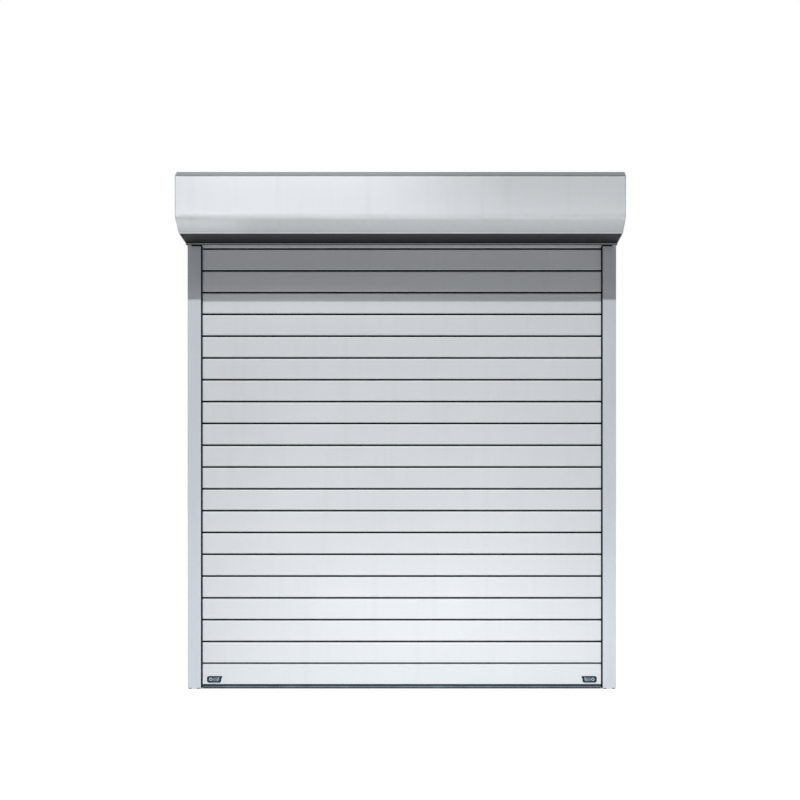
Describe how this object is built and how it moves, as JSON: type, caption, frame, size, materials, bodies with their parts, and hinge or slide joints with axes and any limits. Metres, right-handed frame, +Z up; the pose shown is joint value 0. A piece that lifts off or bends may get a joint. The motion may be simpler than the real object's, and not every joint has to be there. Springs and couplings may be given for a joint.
{
  "type": "exterior roller shutter",
  "caption": "Wall-fixed roller shutter with interlocking slats in guide rails, a faceted shutter box with a motor-driven winding shaft, and a sealed, lockable bottom bar.",
  "frame": {"origin": "middle of the bottom seal's underside on the sill, in the middle of the curtain's thickness", "axes": "+Z up, +Y towards the wall that the rails are screwed to, +X to the right seen from the street"},
  "size_m": [1.51, 0.2054, 1.78],
  "materials": {
    "powder_coated_box": "light silver-grey powder coat, fine grain",
    "powder_coated_rail": "light silver-grey powder coat",
    "powder_coated_slat": "light silver-grey powder coat",
    "cast_end_cap": "cast aluminium, powder coated",
    "mill_aluminium": "mill finish",
    "black_rubber": "matt black seal",
    "navy_rubber": "dark blue-grey rubber",
    "black_plastic": "fine-grained black nylon",
    "grey_plastic": "blue-grey nylon",
    "zinc_steel": "galvanised",
    "spring_steel": "blued spring strip",
    "motor_enamel": "white enamel tube",
    "light_nylon": "grey nylon"
  },
  "bodies": {
    "fixed_frame": {"top_cover": "powder_coated_box", "front_cover": "powder_coated_box", "bottom_cover": "powder_coated_box", "inlet_strip": "mill_aluminium", "inlet_brush": "black_rubber", "end_cap_left": "cast_end_cap", "end_cap_right": "cast_end_cap", "guide_rail_left": "powder_coated_rail", "guide_rail_right": "powder_coated_rail", "rail_seal_left": "black_rubber", "rail_seal_right": "black_rubber", "rail_foot_left": "light_nylon", "rail_foot_right": "light_nylon", "inlet_guide_left": "black_plastic", "inlet_guide_right": "black_plastic", "motor_bracket": "zinc_steel", "motor_head": "black_plastic", "motor_body": "motor_enamel", "idler_bracket": "zinc_steel", "idler_bearing": "light_nylon", "cable_grommet": "black_rubber", "cover_screws": "zinc_steel", "bracket_screws": "zinc_steel"},
    "winding_shaft": {"winding_tube": "zinc_steel", "drive_adapter": "black_plastic", "motor_shaft": "zinc_steel", "limit_crown": "black_plastic", "tube_end_plug": "black_plastic", "idler_pin": "zinc_steel", "hanger_straps": "spring_steel", "strap_rivets": "zinc_steel"},
    "bottom_bar_unit": {"bottom_bar": "powder_coated_slat", "bottom_seal": "navy_rubber", "bar_end_plugs": "black_plastic", "lock_housings": "black_plastic"},
    "slat_01": {"slat_01": "powder_coated_slat"},
    "slat_02": {"slat_02": "powder_coated_slat"},
    "slat_03": {"slat_03": "powder_coated_slat"},
    "slat_04": {"slat_04": "powder_coated_slat"},
    "slat_05": {"slat_05": "powder_coated_slat"},
    "slat_06": {"slat_06": "powder_coated_slat"},
    "slat_07": {"slat_07": "powder_coated_slat"},
    "slat_08": {"slat_08": "powder_coated_slat"},
    "slat_09": {"slat_09": "powder_coated_slat"},
    "slat_10": {"slat_10": "powder_coated_slat"},
    "slat_11": {"slat_11": "powder_coated_slat"},
    "slat_12": {"slat_12": "powder_coated_slat"},
    "slat_13": {"slat_13": "powder_coated_slat"},
    "slat_14": {"slat_14": "powder_coated_slat"},
    "slat_15": {"slat_15": "powder_coated_slat"},
    "slat_16": {"slat_16": "powder_coated_slat"},
    "slat_17": {"slat_17": "powder_coated_slat"},
    "slat_18": {"slat_18": "powder_coated_slat"},
    "slat_19": {"slat_19": "powder_coated_slat"},
    "slat_20": {"slat_20": "powder_coated_slat", "strap_hooks": "mill_aluminium"},
    "lock_left": {"lock_slide_left": "grey_plastic", "lock_bolt_left": "zinc_steel"},
    "lock_right": {"lock_slide_right": "grey_plastic", "lock_bolt_right": "zinc_steel"}
  },
  "joints": [
    {"name": "curtain_lift", "type": "slide", "parent": "fixed_frame", "child": "bottom_bar_unit", "axis": [0, 0, 1], "range_m": [0, 0.08]},
    {"name": "slat_01_lift", "type": "slide", "parent": "fixed_frame", "child": "slat_01", "axis": [0, 0, 1], "range_m": [0, 0.0825]},
    {"name": "slat_02_lift", "type": "slide", "parent": "fixed_frame", "child": "slat_02", "axis": [0, 0, 1], "range_m": [0, 0.085]},
    {"name": "slat_03_lift", "type": "slide", "parent": "fixed_frame", "child": "slat_03", "axis": [0, 0, 1], "range_m": [0, 0.0875]},
    {"name": "slat_04_lift", "type": "slide", "parent": "fixed_frame", "child": "slat_04", "axis": [0, 0, 1], "range_m": [0, 0.09]},
    {"name": "slat_05_lift", "type": "slide", "parent": "fixed_frame", "child": "slat_05", "axis": [0, 0, 1], "range_m": [0, 0.0925]},
    {"name": "slat_06_lift", "type": "slide", "parent": "fixed_frame", "child": "slat_06", "axis": [0, 0, 1], "range_m": [0, 0.095]},
    {"name": "slat_07_lift", "type": "slide", "parent": "fixed_frame", "child": "slat_07", "axis": [0, 0, 1], "range_m": [0, 0.0975]},
    {"name": "slat_08_lift", "type": "slide", "parent": "fixed_frame", "child": "slat_08", "axis": [0, 0, 1], "range_m": [0, 0.1]},
    {"name": "slat_09_lift", "type": "slide", "parent": "fixed_frame", "child": "slat_09", "axis": [0, 0, 1], "range_m": [0, 0.1025]},
    {"name": "slat_10_lift", "type": "slide", "parent": "fixed_frame", "child": "slat_10", "axis": [0, 0, 1], "range_m": [0, 0.105]},
    {"name": "slat_11_lift", "type": "slide", "parent": "fixed_frame", "child": "slat_11", "axis": [0, 0, 1], "range_m": [0, 0.1075]},
    {"name": "slat_12_lift", "type": "slide", "parent": "fixed_frame", "child": "slat_12", "axis": [0, 0, 1], "range_m": [0, 0.11]},
    {"name": "slat_13_lift", "type": "slide", "parent": "fixed_frame", "child": "slat_13", "axis": [0, 0, 1], "range_m": [0, 0.1125]},
    {"name": "slat_14_lift", "type": "slide", "parent": "fixed_frame", "child": "slat_14", "axis": [0, 0, 1], "range_m": [0, 0.115]},
    {"name": "slat_15_lift", "type": "slide", "parent": "fixed_frame", "child": "slat_15", "axis": [0, 0, 1], "range_m": [0, 0.1175]},
    {"name": "slat_16_lift", "type": "slide", "parent": "fixed_frame", "child": "slat_16", "axis": [0, 0, 1], "range_m": [0, 0.12]},
    {"name": "slat_17_lift", "type": "slide", "parent": "fixed_frame", "child": "slat_17", "axis": [0, 0, 1], "range_m": [0, 0.1225]},
    {"name": "slat_18_lift", "type": "slide", "parent": "fixed_frame", "child": "slat_18", "axis": [0, 0, 1], "range_m": [0, 0.125]},
    {"name": "slat_19_lift", "type": "slide", "parent": "fixed_frame", "child": "slat_19", "axis": [0, 0, 1], "range_m": [0, 0.1275]},
    {"name": "slat_20_lift", "type": "slide", "parent": "fixed_frame", "child": "slat_20", "axis": [0, 0, 1], "range_m": [0, 0.13]},
    {"name": "shaft_turn", "type": "hinge", "parent": "fixed_frame", "child": "winding_shaft", "pos_m": [0, -0.088, 1.671], "axis": [1, 0, 0], "range_deg": [0, 235], "deforming": ["hanger_straps"]},
    {"name": "lock_left_slide", "type": "slide", "parent": "bottom_bar_unit", "child": "lock_left", "axis": [-1, 0, 0], "range_m": [0, 0.012]},
    {"name": "lock_right_slide", "type": "slide", "parent": "bottom_bar_unit", "child": "lock_right", "axis": [1, 0, 0], "range_m": [0, 0.012]}
  ],
  "couplings": [
    {"joint": "slat_01_lift", "follows": "curtain_lift", "ratio": 1.0312},
    {"joint": "slat_02_lift", "follows": "curtain_lift", "ratio": 1.0625},
    {"joint": "slat_03_lift", "follows": "curtain_lift", "ratio": 1.0938},
    {"joint": "slat_04_lift", "follows": "curtain_lift", "ratio": 1.125},
    {"joint": "slat_05_lift", "follows": "curtain_lift", "ratio": 1.1562},
    {"joint": "slat_06_lift", "follows": "curtain_lift", "ratio": 1.1875},
    {"joint": "slat_07_lift", "follows": "curtain_lift", "ratio": 1.2188},
    {"joint": "slat_08_lift", "follows": "curtain_lift", "ratio": 1.25},
    {"joint": "slat_09_lift", "follows": "curtain_lift", "ratio": 1.2812},
    {"joint": "slat_10_lift", "follows": "curtain_lift", "ratio": 1.3125},
    {"joint": "slat_11_lift", "follows": "curtain_lift", "ratio": 1.3438},
    {"joint": "slat_12_lift", "follows": "curtain_lift", "ratio": 1.375},
    {"joint": "slat_13_lift", "follows": "curtain_lift", "ratio": 1.4062},
    {"joint": "slat_14_lift", "follows": "curtain_lift", "ratio": 1.4375},
    {"joint": "slat_15_lift", "follows": "curtain_lift", "ratio": 1.4688},
    {"joint": "slat_16_lift", "follows": "curtain_lift", "ratio": 1.5},
    {"joint": "slat_17_lift", "follows": "curtain_lift", "ratio": 1.5312},
    {"joint": "slat_18_lift", "follows": "curtain_lift", "ratio": 1.5625},
    {"joint": "slat_19_lift", "follows": "curtain_lift", "ratio": 1.5938},
    {"joint": "slat_20_lift", "follows": "curtain_lift", "ratio": 1.625},
    {"joint": "shaft_turn", "follows": "curtain_lift", "rad_per_m": 51.268}
  ]
}
